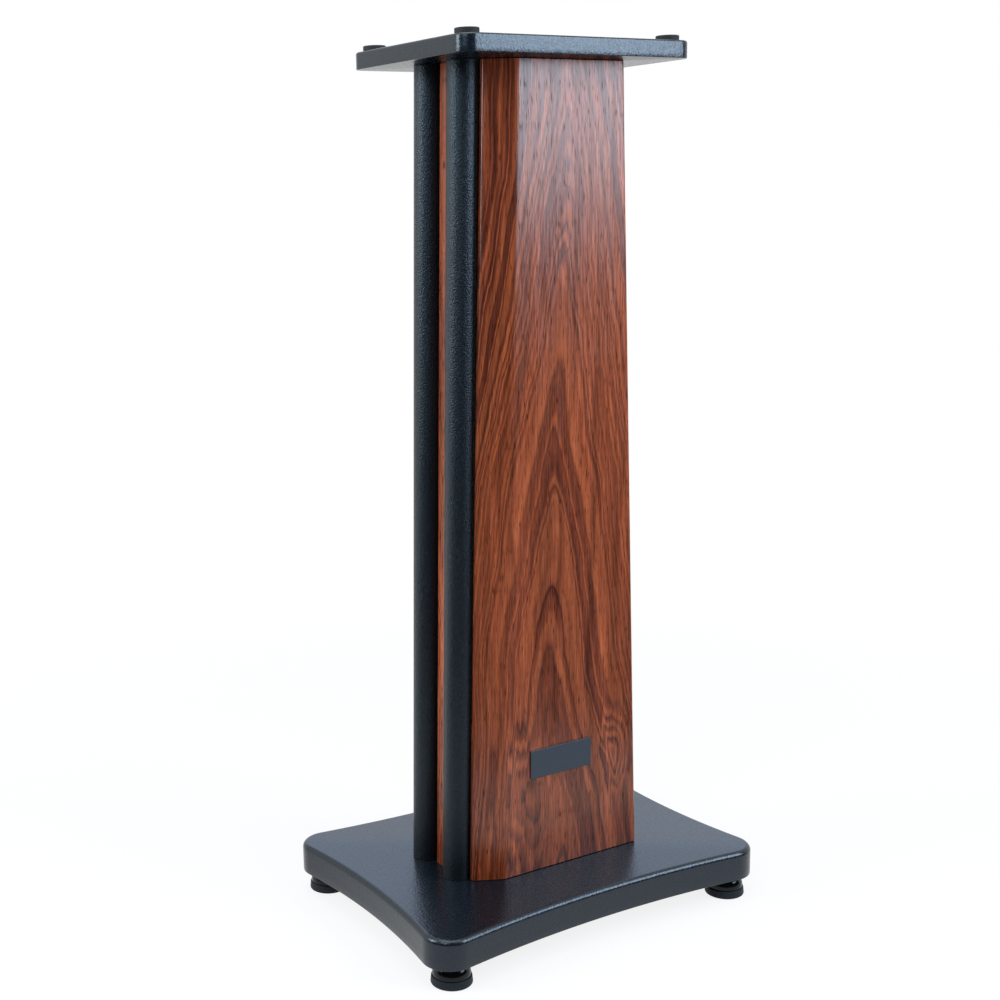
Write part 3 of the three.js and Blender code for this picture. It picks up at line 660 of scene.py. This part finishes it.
def buildPad(place):
    node = f"rubber_pad_{place}"
    low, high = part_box(node)
    radius, edge, middle = padSizes["radius"], padSizes["edge"], padSizes["radius"] * padSizes["middle"]
    profile = [(middle, low.z), (radius - edge / 2, low.z), (radius, low.z + edge / 2)]
    profile += [(radius - edge * (1 - math.cos(t)), high.z - edge * (1 - math.sin(t)))
                for t in np.linspace(0, math.pi / 2, padSizes["edgeSteps"])]
    profile += [(radius * padSizes["crown"], high.z), (middle, high.z)]
    rings = turned(profile, padSizes["sides"], centreOf(node))
    makePiece(f"padSkin_{place}", *loft(rings), padRubber, node, "rubber_pad")


def buildFoot(place):
    sizes = footSizes
    wallNode, domeNode = f"foot_pad_{place}", f"foot_hub_{place}"
    low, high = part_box(wallNode)
    centre = centreOf(wallNode)
    radius, edge = sizes["radius"], sizes["edge"]
    top, middle, steps = radius - sizes["draft"], radius * sizes["middle"], sizes["edgeSteps"]
    profile = [(middle, low.z), (radius - edge, low.z)]
    profile += arcPoints((radius - edge, low.z + edge), edge, -math.pi / 2, 0, steps)[1:]
    profile += arcPoints((top - edge, high.z - edge), edge, sizes["edgeStart"], math.pi / 2, steps)
    profile += [(sizes["socket"], high.z), (sizes["socket"], low.z + sizes["socketFloor"]),
                (middle, low.z + sizes["socketFloor"])]
    makePiece(f"footWallSkin_{place}", *loft(turned(profile, sizes["sides"], centre)), footWall, wallNode, "foot_matte")
    low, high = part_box(domeNode)
    start = low.z + sizes["rim"]
    profile = [(sizes["bore"], low.z), (sizes["domeRadius"] - sizes["rim"] * 0.5, low.z), (sizes["domeRadius"], start)]
    for t in np.linspace(0, math.pi / 2, sizes["domeSteps"])[1:]:
        profile.append((sizes["domeTop"] + (sizes["domeRadius"] - sizes["domeTop"]) * math.cos(t),
                        start + (high.z - start) * math.sin(t)))
    profile += [(sizes["bore"], high.z), (sizes["bore"], low.z)]
    verts, faces = loft(turned(profile, sizes["sides"], centre), capped=False)
    makePiece(f"footDomeSkin_{place}", verts, faces, footDome, domeNode, "foot_gloss")


for place in cornerNames:
    buildPad(place)
    buildFoot(place)
print("pads and feet built")


# the fasteners keep the frame's own solids
def dressFasteners():
    for node, solid in frame["nodes"].items():
        if node.startswith(("top_bolt", "top_screw")):
            metal = blackSteel
        elif node.startswith(("base_bolt", "base_screw", "foot_stud", "foot_insert", "tube_foot_plug",
                              "tube_head_plug")):
            metal = zincPlate
        else:
            continue
        solid.data.materials.clear()
        solid.data.materials.append(metal)


dressFasteners()

floorLook = {"colour": (0.86, 0.87, 0.88), "nearShare": 0.84, "nearRadius": 0.45, "farRadius": 1.1, "size": 14.0,
             "roughness": 0.7, "drop": 0.0002}


def seenRays(tree):
    path = addNode(tree, "ShaderNodeLightPath")
    mirrored = calc(tree, "MAXIMUM", path.outputs["Is Glossy Ray"], path.outputs["Is Transmission Ray"])
    return calc(tree, "MAXIMUM", path.outputs["Is Camera Ray"], mirrored)


def buildFloor():
    half = floorLook["size"] / 2
    mesh = bpy.data.meshes.new("studioFloor")
    mesh.from_pydata([(-half, -half, 0), (half, -half, 0), (half, half, 0), (-half, half, 0)], [], [(0, 1, 2, 3)])
    floor = bpy.data.objects.new("studioFloor", mesh)
    bpy.context.scene.collection.objects.link(floor)
    material, tree = newMaterial("studio floor")
    place = addNode(tree, "ShaderNodeTexCoord").outputs["Object"]
    away = addNode(tree, "ShaderNodeVectorMath", {0: place}, operation="LENGTH").outputs["Value"]
    share = remap(tree, away, floorLook["nearRadius"], floorLook["farRadius"], floorLook["nearShare"], 1.0, smooth=True)
    shader = addNode(tree, "ShaderNodeBsdfPrincipled", {"Base Color": (*floorLook["colour"], 1),
                                                          "Roughness": floorLook["roughness"]})
    glow = addNode(tree, "ShaderNodeEmission", {"Color": (1, 1, 1, 1), "Strength": 1.0})
    share = calc(tree, "MULTIPLY", seenRays(tree), share)
    mixed = addNode(tree, "ShaderNodeMixShader", {0: share, 1: shader.outputs[0], 2: glow.outputs[0]})
    out = addNode(tree, "ShaderNodeOutputMaterial")
    tree.links.new(mixed.outputs[0], out.inputs["Surface"])
    mesh.materials.append(material)
    floor.location.z = -floorLook["drop"]


worldLook = {"fill": (0.62, 0.66, 0.72), "fillStrength": 0.45}


def buildWorld():
    world = bpy.data.worlds.new("studio")
    bpy.context.scene.world = world
    world.use_nodes = True
    tree = world.node_tree
    tree.nodes.clear()
    seen = seenRays(tree)
    fill = addNode(tree, "ShaderNodeBackground", {"Color": (*worldLook["fill"], 1),
                                                  "Strength": worldLook["fillStrength"]})
    white = addNode(tree, "ShaderNodeBackground", {"Color": (1, 1, 1, 1), "Strength": 1.0})
    mixed = addNode(tree, "ShaderNodeMixShader", {0: seen, 1: fill.outputs[0], 2: white.outputs[0]})
    out = addNode(tree, "ShaderNodeOutputWorld")
    tree.links.new(mixed.outputs[0], out.inputs["Surface"])


lamps = {
    "frontSoftbox": {"at": (0.97, -1.34, 1.27), "aim": (0, 0, 0.85), "size": (0.75, 1.25), "power": 33,
                     "tint": (0.72, 0.84, 1)},
    "leftSoftbox": {"at": (-1.5, 0.40, 1.15), "aim": (0, 0, 0.7), "size": (0.6, 1.0), "power": 20,
                    "tint": (0.86, 0.94, 1)},
    "overheadSoftbox": {"at": (-0.2, -0.2, 2.3), "aim": (0, 0, 0), "size": (1.6, 1.6), "power": 22,
                        "tint": (1, 0.98, 0.96)},
    "cameraSideSoftbox": {"at": (-1.35, -0.95, 1.42), "aim": (0, 0, 0.8), "size": (0.9, 0.7), "power": 9,
                          "tint": (0.66, 0.84, 1)},
    "backSoftbox": {"at": (0.95, 1.65, 1.12), "aim": (0, 0, 0.1), "size": (2.2, 0.8), "power": 5.5,
                    "tint": (0.30, 0.55, 1)},
}


def buildLamps():
    for name, lamp in lamps.items():
        data = bpy.data.lights.new(name, "AREA")
        data.shape = "RECTANGLE"
        data.size, data.size_y = lamp["size"]
        data.energy = lamp["power"]
        data.color = lamp["tint"]
        holder = bpy.data.objects.new(name, data)
        bpy.context.scene.collection.objects.link(holder)
        holder.visible_camera = False
        place, aim = (np.array(lamp[key], float) for key in ("at", "aim"))
        back = (place - aim) / np.linalg.norm(place - aim)
        side = np.cross((0, 0, 1), back)
        if np.linalg.norm(side) < 1e-3:
            side = np.array([1.0, 0, 0])
        side /= np.linalg.norm(side)
        upward = np.cross(back, side)
        turn = Matrix((side, upward, back)).transposed().to_4x4()
        holder.matrix_world = Matrix.Translation(place) @ turn


# a dark curved screen on the camera's side keeps the black pieces black; the camera doesn't see it
screenSizes = {"radius": 2.4, "height": 2.6, "from": -205, "to": -25, "steps": 40, "colour": (0.02, 0.02, 0.022),
               "roughness": 0.9, "matRadius": 0.5, "matLift": 0.001}


def buildScreen():
    sizes = screenSizes
    angles = np.radians(np.linspace(sizes["from"], sizes["to"], sizes["steps"] + 1))
    verts, faces = [], []
    for angle in angles:
        x, y = sizes["radius"] * math.cos(angle), sizes["radius"] * math.sin(angle)
        matX, matY = sizes["matRadius"] * math.cos(angle), sizes["matRadius"] * math.sin(angle)
        verts += [(matX, matY, sizes["matLift"]), (x, y, sizes["matLift"]), (x, y, sizes["height"])]
    for i in range(sizes["steps"]):
        low = 3 * i
        faces += [(low, low + 1, low + 4, low + 3), (low + 1, low + 2, low + 5, low + 4)]
    mesh = bpy.data.meshes.new("darkScreen")
    mesh.from_pydata(verts, [], faces)
    screen = bpy.data.objects.new("darkScreen", mesh)
    bpy.context.scene.collection.objects.link(screen)
    material, tree = newMaterial("dark screen cloth")
    finishMaterial(tree, {"Base Color": (*sizes["colour"], 1), "Roughness": sizes["roughness"]})
    mesh.materials.append(material)
    screen.visible_camera = False
    screen.visible_diffuse = False
    screen.visible_shadow = False


cameraLook = {"at": (-0.8093, -1.11658, 0.66552), "azimuth": -29.842, "pitch": 11.248, "roll": -1.507,
              "focalPixels": 1501.98, "shift": 0.135, "sensor": 36.0,
              "photoWidth": 1000}


def buildCamera():
    data = bpy.data.cameras.new("camera")
    data.sensor_width = cameraLook["sensor"]
    data.lens = cameraLook["focalPixels"] * cameraLook["sensor"] / cameraLook["photoWidth"]
    data.shift_x = cameraLook["shift"]
    camera = bpy.data.objects.new("camera", data)
    bpy.context.scene.collection.objects.link(camera)
    turn = Matrix.Rotation(math.radians(cameraLook["azimuth"]), 4, "Z")
    turn = turn @ Matrix.Rotation(math.radians(90 - cameraLook["pitch"]), 4, "X")
    turn = turn @ Matrix.Rotation(math.radians(cameraLook["roll"]), 4, "Z")
    camera.matrix_world = Matrix.Translation(cameraLook["at"]) @ turn
    bpy.context.scene.camera = camera


buildFloor()
buildWorld()
buildLamps()
buildScreen()
buildCamera()
bpy.context.scene.view_settings.view_transform = "Standard"
print("studio ready")

bpy.context.view_layer.update()
